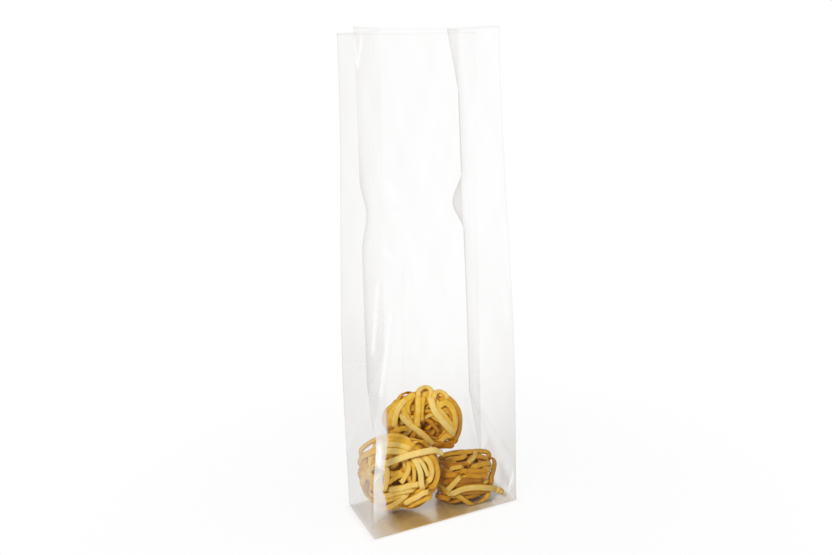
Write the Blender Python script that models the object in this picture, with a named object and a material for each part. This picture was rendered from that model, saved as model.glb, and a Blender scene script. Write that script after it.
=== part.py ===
"""An open, clear film bag with folded side gussets and a flat block bottom, holding three nests of
dried ribbon pasta.

Units are metres and +Z is up. The origin is the middle of the bag's underside. The bag's front
panel faces -Y and its width runs along X.
"""

from collections import namedtuple
from math import cos, pi, radians, sin, sqrt

import bmesh
import bpy
from mathutils import Euler, Vector
from mathutils.bvhtree import BVHTree

# Pasta nests: size across, from front to back and through, exponents of the outline and of the
# profile (2 is round, more is squarer), and turn in degrees about X, Y and Z. The phase sets where
# the loops of a nest cross.
Nest = namedtuple("Nest", "name size plan profile turn phase")
LEFT_ACROSS = 0.064
RIGHT_ACROSS = 0.047
RIGHT_DEPTH = 0.046
LEFT_NEST = Nest("pasta_nest_left", (LEFT_ACROSS, 0.063, 0.028), 2.2, 2.6, (98.0, 6.0, -20.0), 0.4)
RIGHT_NEST = Nest("pasta_nest_right", (RIGHT_ACROSS, RIGHT_DEPTH, 0.031), 3.6, 3.6, (3.0, -2.0, -16.0), 1.7)
TOP_NEST = Nest("pasta_nest_top", (0.062, 0.050, 0.028), 2.2, 2.4, (104.0, 12.0, -8.0), 2.9)
STRAND_WIDTH = 0.0055
STRAND_THICKNESS = 0.0020
STRAND_COUNT = 8  # loops round one nest
HOLLOW_DEPTH = 0.006  # of the dimple in the middle of each face
HOLLOW_WIDTH = 0.020  # of the dimple
SEAT_GAP = 0.0003  # between a nest and what it rests on
SIDE_ROOM = 0.0015  # between a nest and the film of a side
FRONT_ROOM = 0.0085  # between the left nest and the front film
BACK_ROOM = 0.0025  # between the right nest and the back film
TOP_ROOM = 0.0025  # between the top nest and the back film
MIDDLE_ROOM = 0.005  # between the two lower nests, measured straight across the bag
START_ROOM = 0.005  # between a nest and the film before it is let down to its seat
STRAND_STRAY = 0.5  # how far loops sit off the middle, as a share of half the thickness
STRAND_TILT = 12.0  # degrees, of the flattest loops
STRAND_TILT_STEP = 9.0

# Bag
FILM = 0.0005
BAG_DEPTH = FRONT_ROOM + RIGHT_DEPTH + BACK_ROOM + 2 * FILM
BAG_WIDTH = LEFT_ACROSS + MIDDLE_ROOM + RIGHT_ACROSS + 2 * (SIDE_ROOM + FILM)
BAG_HEIGHT = 0.360
BOTTOM_ROUND = 0.0012  # radius of the fold between a wall and the bottom
MOUTH_WIDTH = 0.109
MOUTH_DEPTH = 0.036
MOUTH_SHIFT_X = 0.0095  # how far the mouth leans from above the bottom
MOUTH_SHIFT_Y = -0.003
PANEL_BOW = 0.010  # how far the front panel sinks in at the mouth
GUSSET_REACH = 0.025  # how far a gusset's crease lies inside the bag's side
CREASE_WIDTH = 0.0016
FAN_HEIGHT = 0.086  # where the right crease opens into the fan that reaches the bottom's corners
LEFT_FAN_BASE = 0.046  # up to where the left nest presses its side flat
LEFT_FAN_HEIGHT = 0.130
FAN_FOOT = 0.003  # between a bottom corner and the foot of the fan's fold
BUCKLE_HEIGHT = 0.237  # of the dents pressed into two of the folds
BUCKLE_REACH = 0.024  # how far up and down a dent fades out
CREASE_BUCKLE = 0.009
EDGE_BUCKLE = 0.004

# Steps in the meshes
PANEL_STEPS = 8
FLANK_STEPS = 2
CREASE_STEPS = 2
LEVEL_STEP = 0.021
CORE_SIDES = 24
CORE_RINGS = 9
STRAND_STEPS = 40
NEST_VOXEL = 0.0009
NEST_TRIANGLES = 3000

FOLD_ANGLE = 20.0  # degrees: a sharper turn in the film is a crease
STRAND_ANGLE = 50.0
FILM_COLOUR = (0.93, 0.94, 0.95, 1.0)
PASTA_COLOUR = (0.72, 0.43, 0.09, 1.0)
GOLDEN_ANGLE = pi * (3 - sqrt(5))


def clear_scene():
    for old in list(bpy.data.objects):
        bpy.data.objects.remove(old, do_unlink=True)


def material(name, colour, roughness, alpha=1.0):
    made = bpy.data.materials.new(name)
    made.use_nodes = True
    shader = made.node_tree.nodes["Principled BSDF"]
    shader.inputs["Base Color"].default_value = colour
    shader.inputs["Roughness"].default_value = roughness
    shader.inputs["Metallic"].default_value = 0.0
    shader.inputs["Alpha"].default_value = alpha
    return made


def mesh_object(name, points, faces):
    mesh = bpy.data.meshes.new(name)
    mesh.from_pydata(points, [], faces)
    mesh.update()
    made = bpy.data.objects.new(name, mesh)
    bpy.context.collection.objects.link(made)
    return made


def smooth(target, angle):
    """Shades a piece smooth, apart from edges that turn by more than angle degrees."""
    target.data.shade_smooth()
    target.data.set_sharp_from_angle(angle=radians(angle))


def ease(value, low, high):
    """A smooth step from 0 at low to 1 at high."""
    share = min(max((value - low) / (high - low), 0.0), 1.0)
    return share * share * (3 - 2 * share)


def mix(a, b, share):
    return a + (b - a) * share


def buckle(z):
    """A dent's share of its full depth at height z."""
    return max(0.0, 1 - abs(z - BUCKLE_HEIGHT) / BUCKLE_REACH)


def gusset(z, base, top, half_depth):
    """How far a side is folded in at height z, and how far apart its folds lie from its middle."""
    fan = min(max((z - base) / (top - base), 0.0), 1.0)
    return GUSSET_REACH * fan, mix(half_depth - FAN_FOOT, CREASE_WIDTH / 2, fan)


def bag_folds(z):
    """The section's eight folds at height z, anticlockwise from the front left corner."""
    rise = ease(z, FAN_HEIGHT, BAG_HEIGHT)
    lean = z / BAG_HEIGHT
    half_width = mix(BAG_WIDTH, MOUTH_WIDTH, rise) / 2
    half_depth = mix(BAG_DEPTH, MOUTH_DEPTH, rise) / 2
    middle = Vector((MOUTH_SHIFT_X * lean, MOUTH_SHIFT_Y * rise, 0.0))
    right_reach, right_spread = gusset(z, 0.0, FAN_HEIGHT, half_depth)
    left_reach, left_spread = gusset(z, LEFT_FAN_BASE, LEFT_FAN_HEIGHT, half_depth)
    right_fold = half_width - right_reach - CREASE_BUCKLE * buckle(z)
    left_fold = left_reach - half_width
    folds = (
        Vector((EDGE_BUCKLE * buckle(z) - half_width, -half_depth, z)),
        Vector((half_width, -half_depth, z)),
        Vector((right_fold, -right_spread, z)),
        Vector((right_fold, right_spread, z)),
        Vector((half_width, half_depth, z)),
        Vector((-half_width, half_depth, z)),
        Vector((left_fold, left_spread, z)),
        Vector((left_fold, -left_spread, z)),
    )
    return [fold + middle for fold in folds]


def bag_section(z, inset=0.0):
    """A ring of points round the bag at height z, drawn in by inset for the bottom's round."""
    folds = bag_folds(z)
    bow = PANEL_BOW * ease(z, FAN_HEIGHT, BAG_HEIGHT)
    steps = (PANEL_STEPS, FLANK_STEPS, CREASE_STEPS, FLANK_STEPS) * 2
    ring = []
    for index, count in enumerate(steps):
        start = folds[index]
        end = folds[(index + 1) % len(folds)]
        for step in range(count):
            point = start.lerp(end, step / count)
            if index == 0:
                point.y += bow * sin(pi * step / count)
            ring.append(point)
    for point in ring:
        point.x *= 1 - 2 * inset / BAG_WIDTH
        point.y *= 1 - 2 * inset / BAG_DEPTH
    return ring


def bag_levels():
    """Heights of the rings: close together at the buckles, even elsewhere."""
    levels = []
    stops = sorted((BOTTOM_ROUND, LEFT_FAN_BASE, FAN_HEIGHT, LEFT_FAN_HEIGHT, BAG_HEIGHT,
                    BUCKLE_HEIGHT - BUCKLE_REACH, BUCKLE_HEIGHT, BUCKLE_HEIGHT + BUCKLE_REACH))
    for low, high in zip(stops, stops[1:]):
        count = max(1, round((high - low) / LEVEL_STEP))
        levels += [mix(low, high, step / count) for step in range(count)]
    return levels + [BAG_HEIGHT]


def make_bag():
    """One folded sheet, from the bottom's rounded fold up to the mouth, thickened inward."""
    rings = []
    for angle in (0.0, 45.0):
        lift = BOTTOM_ROUND * (1 - cos(radians(angle)))
        inset = BOTTOM_ROUND * (1 - sin(radians(angle)))
        rings.append([Vector((p.x, p.y, lift)) for p in bag_section(lift, inset)])
    rings += [bag_section(z) for z in bag_levels()]
    around = len(rings[0])
    points = [point for ring in rings for point in ring]
    faces = [tuple(reversed(range(around)))]
    for level in range(len(rings) - 1):
        for step in range(around):
            after = (step + 1) % around
            low = level * around
            faces.append((low + step, low + after, low + around + after, low + around + step))
    bag = mesh_object("film_bag", points, faces)
    smooth(bag, FOLD_ANGLE)
    wall = bag.modifiers.new("film", "SOLIDIFY")
    wall.thickness = FILM
    wall.offset = -1.0
    wall.use_even_offset = True
    bag.data.materials.append(material("clear_film", FILM_COLOUR, 0.08, alpha=0.25))
    return bag


def on_nest(nest, direction):
    """The point of a nest's packed middle that lies along direction from its centre."""
    across, depth, through = (size / 2 - STRAND_THICKNESS for size in nest.size)
    flat = abs(direction.x / across) ** nest.plan + abs(direction.y / depth) ** nest.plan
    whole = flat ** (nest.profile / nest.plan) + abs(direction.z / through) ** nest.profile
    return direction * whole ** (-1 / nest.profile)


def core_point(nest, ring, side):
    """A point of a nest's packed middle: a flattened ball with a dimple in each face."""
    polar = pi * ring / CORE_RINGS
    angle = 2 * pi * side / CORE_SIDES
    across, depth, through = nest.size
    round_it = Vector((across * cos(angle), depth * sin(angle), 0.0)) * sin(polar)
    point = on_nest(nest, round_it + Vector((0.0, 0.0, through * cos(polar))))
    from_axis = sqrt(point.x**2 + point.y**2)
    dimple = HOLLOW_DEPTH * max(0.0, 1 - 2 * from_axis / HOLLOW_WIDTH)
    point.z -= dimple * (1 if point.z > 0 else -1)
    return point


def nest_core(nest):
    points = [core_point(nest, 0, 0)]
    for ring in range(1, CORE_RINGS):
        points += [core_point(nest, ring, side) for side in range(CORE_SIDES)]
    points.append(core_point(nest, CORE_RINGS, 0))
    faces = []
    for side in range(CORE_SIDES):
        after = (side + 1) % CORE_SIDES
        faces.append((0, 1 + side, 1 + after))
        last = 1 + (CORE_RINGS - 2) * CORE_SIDES
        faces.append((len(points) - 1, last + after, last + side))
        for ring in range(CORE_RINGS - 2):
            low = 1 + ring * CORE_SIDES
            faces.append((low + side, low + CORE_SIDES + side, low + CORE_SIDES + after, low + after))
    return mesh_object(nest.name, points, faces)


def strand_middle(nest, index, turn):
    """A point of one strand's loop: a ring round the nest that climbs over it and down again."""
    tilt = radians(STRAND_TILT + STRAND_TILT_STEP * (index % 4)) * (-1 if index % 2 else 1)
    lean = index * GOLDEN_ANGLE + nest.phase
    across, depth, through = nest.size
    offset = STRAND_STRAY * sin(lean) * through / across
    rise = offset + sin(tilt) * sin(turn - lean)
    return on_nest(nest, Vector((cos(turn), sin(turn) * depth / across, rise)))


def nest_strand(nest, index):
    """One strand: a flat loop lying on the nest's packed middle, half sunk into it."""
    points = []
    faces = []
    across, depth, through = nest.size
    for step in range(STRAND_STEPS):
        turn = 2 * pi * step / STRAND_STEPS
        here = strand_middle(nest, index, turn)
        ahead = strand_middle(nest, index, turn + pi / STRAND_STEPS)
        along = (ahead - here).normalized()
        flat = Vector((here.x / across**2, here.y / depth**2, here.z / through**2))
        sideways = along.cross(flat).normalized()
        outward = sideways.cross(along).normalized()
        for side, level in ((-1, -1), (1, -1), (1, 1), (-1, 1)):
            lift = outward * (level * STRAND_THICKNESS / 2 + STRAND_THICKNESS / 4)
            points.append(here + sideways * (side * STRAND_WIDTH / 2) + lift)
        for side in range(4):
            low = 4 * step
            high = 4 * ((step + 1) % STRAND_STEPS)
            after = (side + 1) % 4
            faces.append((low + side, high + side, high + after, low + after))
    made = mesh_object(nest.name, points, faces)
    outward_faces(made)
    return made


def outward_faces(target):
    mesh = bmesh.new()
    mesh.from_mesh(target.data)
    bmesh.ops.recalc_face_normals(mesh, faces=mesh.faces)
    mesh.to_mesh(target.data)
    mesh.free()


def join(name, pieces):
    """One mesh object that holds all the pieces' faces."""
    together = bmesh.new()
    for piece in pieces:
        together.from_mesh(piece.data)
        bpy.data.objects.remove(piece, do_unlink=True)
    mesh = bpy.data.meshes.new(name)
    together.to_mesh(mesh)
    together.free()
    made = bpy.data.objects.new(name, mesh)
    bpy.context.collection.objects.link(made)
    return made


def evaluated_mesh(target):
    bpy.context.view_layer.update()
    seen = bpy.context.evaluated_depsgraph_get()
    return bpy.data.meshes.new_from_object(target.evaluated_get(seen))


def make_nest(nest):
    """A nest of wound strands, all one piece, turned as it lies in the bag."""
    core = nest_core(nest)
    outward_faces(core)
    strands = [nest_strand(nest, index) for index in range(STRAND_COUNT)]
    made = join(nest.name, [core, *strands])
    skin = made.modifiers.new("skin", "REMESH")
    skin.mode = "VOXEL"
    skin.voxel_size = NEST_VOXEL
    thin = made.modifiers.new("thin", "DECIMATE")
    thin.ratio = 1.0
    faces = sum(len(face.vertices) - 2 for face in evaluated_mesh(made).polygons)
    thin.ratio = min(1.0, NEST_TRIANGLES / faces)
    whole = evaluated_mesh(made)
    made.modifiers.clear()
    whole.transform(Euler([radians(a) for a in nest.turn]).to_matrix().to_4x4())
    made.data = whole
    smooth(made, STRAND_ANGLE)
    whole.materials.clear()
    whole.materials.append(material(nest.name, PASTA_COLOUR, 0.55))
    return made


def surface(target):
    """An object's faces as a search tree, with its corners and the middles of its edges."""
    mesh = evaluated_mesh(target)
    mesh.transform(target.matrix_world)
    corners = [vertex.co.copy() for vertex in mesh.vertices]
    middles = [(corners[edge.vertices[0]] + corners[edge.vertices[1]]) / 2 for edge in mesh.edges]
    tree = BVHTree.FromPolygons(corners, [tuple(face.vertices) for face in mesh.polygons])
    bpy.data.meshes.remove(mesh)
    return tree, corners + middles


def free_way(mover, fixed, way):
    """How far mover can go along way before it meets fixed."""
    tree, points = surface(mover)
    other_tree, other_points = surface(fixed)
    ways = [other_tree.ray_cast(point, way)[3] for point in points]
    ways += [tree.ray_cast(point, -way)[3] for point in other_points]
    return min(length for length in ways if length is not None)


def bring_to(mover, way, *fixed, gap=SEAT_GAP):
    """Moves mover along way until gap is left to the first of fixed that it meets."""
    mover.location += way * (min(free_way(mover, other, way) for other in fixed) - gap)
    bpy.context.view_layer.update()


def make_contents(bag):
    """Two nests side by side on the bottom, and one let down on them behind the left one."""
    down = Vector((0, 0, -1))
    front = Vector((0, -1, 0))
    leftward = Vector((-1, 0, 0))
    left = make_nest(LEFT_NEST)
    left.location = ((LEFT_ACROSS - BAG_WIDTH) / 2 + START_ROOM, 0.0, LEFT_ACROSS / 2 + START_ROOM)
    bring_to(left, down, bag)
    bring_to(left, front, bag, gap=FRONT_ROOM)
    bring_to(left, leftward, bag, gap=SIDE_ROOM)
    right = make_nest(RIGHT_NEST)
    right.location = (RIGHT_ACROSS / 2 - START_ROOM, 0.0, RIGHT_ACROSS / 2 + START_ROOM)
    bring_to(right, down, bag)
    bring_to(right, -front, bag, gap=BACK_ROOM)
    bring_to(right, -leftward, bag, gap=SIDE_ROOM)
    top = make_nest(TOP_NEST)
    top.location = (0.0, 0.0, LEFT_ACROSS + TOP_NEST.size[0])
    bring_to(top, -front, bag, gap=TOP_ROOM)
    bring_to(top, down, left, right)


def main():
    clear_scene()
    bag = make_bag()
    make_contents(bag)


main()
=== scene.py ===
"""The look of the gusseted film bag and its three pasta nests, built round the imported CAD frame.

Units are metres and +Z is up. The bag's front panel faces -Y and its width runs along X.
"""

from collections import namedtuple
from math import cos, pi, radians, sin

import bpy
import numpy as np
from mathutils import Euler, Matrix, Vector


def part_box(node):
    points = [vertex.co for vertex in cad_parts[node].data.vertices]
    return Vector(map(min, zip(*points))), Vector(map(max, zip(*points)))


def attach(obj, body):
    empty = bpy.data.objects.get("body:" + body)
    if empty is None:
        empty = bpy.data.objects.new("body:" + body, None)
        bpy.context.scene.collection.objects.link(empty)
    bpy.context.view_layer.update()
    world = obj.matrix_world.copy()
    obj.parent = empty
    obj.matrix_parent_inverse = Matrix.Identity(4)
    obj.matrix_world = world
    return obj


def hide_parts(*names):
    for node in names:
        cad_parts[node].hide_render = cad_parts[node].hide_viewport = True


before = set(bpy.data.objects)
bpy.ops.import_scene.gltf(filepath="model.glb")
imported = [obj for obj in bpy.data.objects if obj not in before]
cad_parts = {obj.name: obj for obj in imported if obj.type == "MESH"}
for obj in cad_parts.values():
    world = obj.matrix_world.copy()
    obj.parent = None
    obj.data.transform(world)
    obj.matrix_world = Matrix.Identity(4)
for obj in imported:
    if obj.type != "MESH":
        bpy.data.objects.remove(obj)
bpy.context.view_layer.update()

# Camera, fitted to the photograph
CAMERA_PLACE = (-0.2122, -0.5045, 0.2978)
CAMERA_YAW = -22.57  # degrees, from looking along +Y
CAMERA_PITCH = 11.79  # down
CAMERA_ROLL = -3.41
CAMERA_LENS = 32.45  # mm
SENSOR_WIDTH = 36.0  # mm

# Bag, as in the part's source
BAG_LOW, BAG_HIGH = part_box("film_bag")
BAG_WIDTH = -2 * BAG_LOW.x
BAG_DEPTH = BAG_HIGH.y - BAG_LOW.y
BAG_HEIGHT = BAG_HIGH.z
BOTTOM_ROUND = 0.0012
MOUTH_WIDTH = 0.109
MOUTH_DEPTH = 0.036
MOUTH_SHIFT_X = 0.0095
MOUTH_SHIFT_Y = -0.003
PANEL_BOW = 0.010
GUSSET_REACH = 0.025
CREASE_WIDTH = 0.0016
FAN_HEIGHT = 0.086
LEFT_FAN_BASE = 0.046
LEFT_FAN_HEIGHT = 0.130
FAN_FOOT = 0.003
BUCKLE_HEIGHT = 0.237
BUCKLE_REACH = 0.024
CREASE_BUCKLE = 0.009
EDGE_BUCKLE = 0.004
TIP_LOW = 0.314  # above here the right crease splits into two folds
TIP_SPLIT = 0.0085  # how far apart they lie at the mouth
FOLD_ROUND = 0.0005  # half the width over which a fold turns
# The same at the front left corner, by height
CORNER_HEIGHTS = (0.000, 0.020, 0.037, 0.048, 0.074, 0.118)
CORNER_ROUND = (0.0012, 0.004, 0.008, 0.0125, 0.016, FOLD_ROUND)

# Film mesh
EDGE_STEPS = (96, 24, 14, 24, 56, 24, 14, 24)  # across each face of the section
STEP_CROWDING = 0.6  # how much closer together the steps lie at the folds
LEVELS = 290
BOTTOM_RINGS = 9
FILM_LIFT = 0.0002  # of the bottom film above the floor
FILM_ROOM = 0.0006  # the least between the strands and the outside of the bag
RING_SAMPLES = 4000

# Nests, as in the part's source: size across, from front to back and through, exponents of the
# outline and of the profile, and turn in degrees about X, Y and Z. Then a seed for the loops, the share
# of the shells' tilt that they take, how much deeper its tones lie, and the share of the colour that it
# keeps. Both are painted shade, as the photo shows the right nest in the others' shade; a tone shift below
# 0 is painted light that makes the left nest paler
Nest = namedtuple("Nest", "name size plan profile turn seed tilt dull shade")
NESTS = (
    Nest("left", (0.064, 0.063, 0.028), 2.2, 2.6, (98.0, 6.0, -20.0), 11, 1.0, -0.06, 0.98),
    Nest("right", (0.047, 0.046, 0.031), 3.6, 3.6, (3.0, -2.0, -16.0), 23, 0.45, 0.08, 0.75),
    Nest("top", (0.062, 0.050, 0.028), 2.2, 2.4, (104.0, 12.0, -8.0), 37, 1.0, 0.0, 0.97),
)
RIBBON_WIDTH = 0.0043
RIBBON_THICKNESS = 0.0015

# Closed strands wound round each nest, from the deepest shell to the outermost, the deeper shells' lower
# tones painted shade
Shell = namedtuple("Shell", "depth loops steepest tones")
SHELLS = (
    Shell(0.0062, 18, 72, (0.15, 0.50)),
    Shell(0.0044, 16, 68, (0.25, 0.70)),
    Shell(0.0026, 10, 60, (0.40, 0.90)),
)
LOOP_STEPS = 96
LEAST_TILT = 4  # degrees
LOOP_OFFSET = 1.25  # how far loops lie from the nest's middle, as a share of its half thickness
LOOP_WOBBLE = 0.10
LOOP_WAVES = (2, 3, 5)  # round a loop
DEPTH_WAVE = 0.0015
DEPTH_SPREAD = 0.0010
TWIST_WAVE = 0.40  # radians
TWIST_SPREAD = 0.3
WIDTH_WAVE = 0.08
WIDTH_SPREAD = (0.8, 1.05)
ANY_PHASE = 6.3
RIBBON_SIDES = 8
RIBBON_FLATNESS = 0.42  # exponents of a ribbon's rounded section
RIBBON_CROWN = 0.75
LEAST_SLOPE = 1e-9  # keeps a power from growing without end in a nest's middle
EDGE_FALL = 6  # how fast a strand's colour turns to its edge's
CORE_DEPTH = 0.0066
# the core's tone: painted shade in the nest's depth
CORE_PAINTED_SHADE = 0.05
CORE_RINGS = 14
CORE_SIDES = 36
POLE_GAP = 0.02  # radians
EDGE_SHADE = 0.42  # how much deeper a strand's colour is at its edges

# The clearest strands of each nest, by what they look like: lift above the nest in mm, width in mm,
# paleness, partly the strand's own tone and partly painted shade where it lies deep or in shade, and the
# places in the frame that the strand passes
FRAME_WIDTH = 832  # pixels
FRAME_HEIGHT = 555
Strand = namedtuple("Strand", "lift width tone places")
STRANDS = {
    "top": {
        "right_long_band": Strand(1.2, 5.4, 0.95, (
            (430, 395), (431, 402), (434, 410), (439, 417), (445, 424), (451, 431), (453, 439),
        )),
        "right_band_behind": Strand(0.6, 5.0, 0.75, (
            (436, 398), (438, 408), (444, 416), (450, 424), (452, 433),
        )),
        "diagonal_band": Strand(1.1, 5.0, 0.90, (
            (400, 411), (404, 418), (411, 425), (418, 430), (425, 436), (431, 442), (436, 449),
        )),
        "left_of_middle": Strand(0.0, 4.8, 0.70, ((404, 400), (404, 410), (408, 419), (413, 426))),
        "left_curl": Strand(-0.4, 4.6, 0.60, ((416, 394), (410, 400), (407, 409), (410, 418))),
        "middle_upright": Strand(0.4, 4.6, 0.75, (
            (418, 393), (418, 402), (418, 412), (417, 422), (419, 430),
        )),
        "upright_beside_it": Strand(-0.2, 4.6, 0.60, ((424, 394), (422, 404), (421, 414), (422, 424))),
        "right_loop": Strand(0.9, 5.0, 0.70, (
            (436, 412), (439, 406), (445, 403), (451, 408), (454, 416), (454, 426), (451, 434),
            (445, 439),
        )),
        "right_outer_loop": Strand(0.5, 5.0, 0.45, (
            (441, 398), (449, 401), (456, 408), (459, 417), (459, 428), (456, 437), (450, 443),
        )),
        "right_inner_end": Strand(-0.6, 4.2, 0.45, ((441, 410), (447, 410), (451, 415), (451, 422))),
        "low_arch": Strand(0.2, 4.2, 0.45, (
            (412, 443), (412, 437), (416, 432), (421, 432), (427, 437), (431, 443),
        )),
        "low_band": Strand(0.6, 4.6, 0.25, ((426, 441), (437, 443), (448, 442), (460, 440))),
        "lowest_band": Strand(0.2, 4.4, 0.20, ((434, 447), (444, 446), (455, 446))),
        "left_shoulder": Strand(0.4, 5.2, 0.70, (
            (393, 432), (390, 424), (391, 415), (396, 408), (403, 402), (412, 396), (420, 392),
        )),
        "left_edge": Strand(0.2, 5.0, 0.60, ((389, 429), (385, 421), (387, 412), (394, 406), (402, 401))),
        "left_inner_rise": Strand(0.8, 5.0, 0.85, (
            (394, 430), (395, 421), (397, 412), (402, 404), (409, 398),
        )),
        "left_foot": Strand(0.3, 4.8, 0.60, ((388, 433), (396, 431), (404, 428), (411, 431))),
        "crown_loop_left": Strand(1.4, 4.0, 0.85, (
            (418, 398), (419, 392), (425, 389), (430, 391), (431, 397),
        )),
        "crown_loop_right": Strand(1.2, 3.8, 0.80, (
            (433, 400), (435, 394), (440, 393), (445, 396), (447, 402),
        )),
        "short_end_right": Strand(-0.2, 4.4, 0.50, ((434, 397), (434, 404), (438, 411))),
        "deep_strand_upper": Strand(-2.5, 3.2, 0.30, ((422, 418), (430, 423), (437, 430), (441, 436))),
        "deep_strand_lower": Strand(-3.0, 3.0, 0.25, ((426, 433), (433, 427), (441, 425))),
    },
    "left": {
        "long_band_across": Strand(2.2, 5.0, 0.95, (
            (379, 464), (386, 462.5), (392, 460.5), (400, 457.5), (410, 454.5), (420, 452.5),
            (432, 451.5), (444, 452),
        )),
        "outer_crown": Strand(0.4, 4.8, 0.65, (
            (358, 458), (361, 451), (366, 446), (374, 441), (383, 437.5), (392, 436), (400, 437),
            (408, 441), (413, 446),
        )),
        "inner_crown": Strand(0.2, 4.6, 0.55, (
            (370, 447), (380, 442), (392, 440), (402, 441), (410, 444), (417, 449),
        )),
        "crown_band": Strand(0.8, 4.6, 0.80, (
            (374, 449), (386, 445.5), (396, 445), (405, 447), (414, 451),
        )),
        "band_under_crown": Strand(0.6, 5.2, 0.85, (
            (372, 456), (384, 452), (394, 451), (404, 453), (410, 456),
        )),
        "left_shoulder": Strand(0.2, 5.0, 0.70, ((359, 466), (362, 458), (370, 453), (380, 449))),
        "right_hanging_band": Strand(1.5, 4.4, 0.95, (
            (413, 457), (417, 464), (420, 472), (421, 482), (423, 491),
        )),
        "narrow_band_beside_it": Strand(1.7, 3.2, 0.90, ((417, 458), (422, 463), (425.5, 470), (428, 477))),
        "right_curl": Strand(0.8, 4.6, 0.75, ((421, 456), (428, 461), (431, 469), (430, 477), (426, 484))),
        "right_outer_curl": Strand(0.2, 5.0, 0.45, (
            (424, 453), (432, 458), (436, 466), (437, 475), (434, 484), (429, 490),
        )),
        "middle_hanging_band": Strand(0.6, 4.0, 0.75, ((409, 462), (408, 470), (404, 478), (400, 484))),
        "narrow_middle_strand": Strand(0.2, 3.2, 0.65, ((412, 461), (414, 470), (414, 479), (412, 485))),
        "left_curl": Strand(0.9, 4.6, 0.90, ((380, 466), (386, 468), (387, 477), (385, 486), (382, 492))),
        "short_cross_strand": Strand(-0.4, 4.6, 0.60, ((385, 473), (394, 474), (404, 472))),
        "deep_cross_strand": Strand(0.0, 3.8, 0.55, ((386, 485), (393, 479), (401, 475), (408, 474))),
        "low_hooked_band": Strand(0.7, 4.8, 0.85, (
            (386, 491), (394, 488.5), (403, 487), (411, 484.5), (418, 484), (420, 489),
        )),
        "low_band": Strand(0.4, 4.6, 0.80, ((378, 497), (388, 495), (398, 492), (408, 490), (416, 489))),
        "lower_band": Strand(0.2, 4.6, 0.65, ((376, 501), (386, 500), (395, 497), (404, 493))),
        "foot_band_left": Strand(0.7, 4.8, 0.80, (
            (379, 510), (388, 507), (395, 503), (402, 497), (409, 493),
        )),
        "foot_band_right": Strand(1.3, 4.6, 0.85, (
            (402, 504), (409, 499.5), (417, 495.5), (424, 491.5), (430, 492),
        )),
        "foot_strand_right": Strand(0.6, 4.6, 0.60, ((407, 507), (415, 502.5), (424, 498.5), (433, 495))),
        "left_upright": Strand(0.3, 4.6, 0.70, ((367, 470), (372, 478), (375, 487), (377, 496))),
        "left_corner_strand": Strand(0.2, 4.6, 0.70, ((361, 470), (366, 476), (374, 477), (383, 474))),
        "left_inner_upright": Strand(0.5, 4.2, 0.65, ((380, 480), (379, 488), (382, 497), (385, 505))),
    },
    "right": {
        "long_end_to_the_right": Strand(2.2, 4.8, 0.95, (
            (447, 495), (453, 492), (459, 489), (466, 487), (475, 486), (485, 486.5), (493, 488.5),
            (500, 491), (505, 493),
        )),
        "foot_arc": Strand(1.4, 4.0, 0.70, (
            (452, 492), (460, 496), (468, 501), (474, 503), (480, 500), (486, 495), (491, 490),
        )),
        "short_diagonal": Strand(1.0, 4.2, 0.90, ((446, 491), (451, 486), (456, 481), (461, 476))),
        "top_left_strand": Strand(0.3, 4.8, 0.60, ((444, 461), (453, 459.5), (462, 458), (468, 454))),
        "top_edge_band": Strand(0.3, 4.6, 0.60, (
            (446, 455), (455, 453.5), (464, 453), (472, 452), (480, 451.5), (488, 453), (492, 459),
        )),
        "top_curl": Strand(1.0, 3.8, 0.85, ((475, 450), (475, 456), (472, 461), (467, 464))),
        "upper_right_band": Strand(0.4, 4.6, 0.60, ((470, 469), (478, 466), (486, 464), (493, 463))),
        "middle_band": Strand(0.1, 4.4, 0.50, ((458, 471), (468, 471.5), (479, 471.5), (490, 471))),
        "short_bright_band": Strand(0.9, 3.8, 0.85, ((450, 470), (456, 468.5), (463, 467.5))),
        "left_band": Strand(0.0, 4.8, 0.45, ((440, 475), (449, 475), (459, 475))),
        "foot_left_band": Strand(0.2, 4.6, 0.45, ((434, 495), (442, 497), (450, 499))),
        "right_upright": Strand(0.4, 4.4, 0.45, (
            (491, 455), (494, 462), (493, 470), (491, 478), (491, 487),
        )),
        "low_band": Strand(0.0, 4.4, 0.35, ((457, 493), (468, 492), (480, 491), (491, 489))),
        "upper_band": Strand(0.0, 4.6, 0.30, ((441, 467), (452, 466), (464, 464), (476, 462))),
        "deep_band_upper": Strand(-0.4, 4.6, 0.25, ((444, 480), (458, 481), (472, 480), (488, 478))),
        "deep_band_lower": Strand(-0.4, 4.6, 0.25, ((444, 486), (458, 485), (472, 484), (488, 482))),
        "top_left_fill": Strand(0.5, 4.6, 0.60, ((439, 458), (447, 455), (457, 453), (468, 452))),
        "left_fill": Strand(0.3, 4.6, 0.50, ((437, 464), (447, 463), (457, 464))),
        "top_right_fill": Strand(0.3, 4.8, 0.55, ((468, 459), (479, 457), (490, 460))),
        "middle_right_fill": Strand(0.3, 4.6, 0.45, ((464, 475), (477, 476), (490, 475))),
    },
}
VIEW_LEAN = 0.9  # how far the placed strands turn their flat side from the nest towards the camera
STRAND_FINENESS = 12  # steps between two of a strand's places
TUCK = 0.0035  # how far a strand's ends go into the nest
TUCK_SHARE = 0.16  # of its length, over which they go in
STRAY = 0.009  # how far a strand may stand off the nest's outline
SIGHT_REACH = (0.4, 0.75)  # distances from the camera between which the nests lie
SIGHT_STEPS = 3501


def ease(value, low, high):
    """A smooth step from 0 at low to 1 at high."""
    share = np.clip((value - low) / (high - low), 0.0, 1.0)
    return share * share * (3 - 2 * share)


def mix(a, b, share):
    return a + (b - a) * share


def bell(value, middle, reach):
    """1 at the middle, fading out over reach on both sides."""
    return np.exp(-(((value - middle) / reach) ** 2))


def buckle(z):
    share = np.clip(1 - np.abs(z - BUCKLE_HEIGHT) / BUCKLE_REACH, 0, 1)
    return share * share * (3 - 2 * share)


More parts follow.
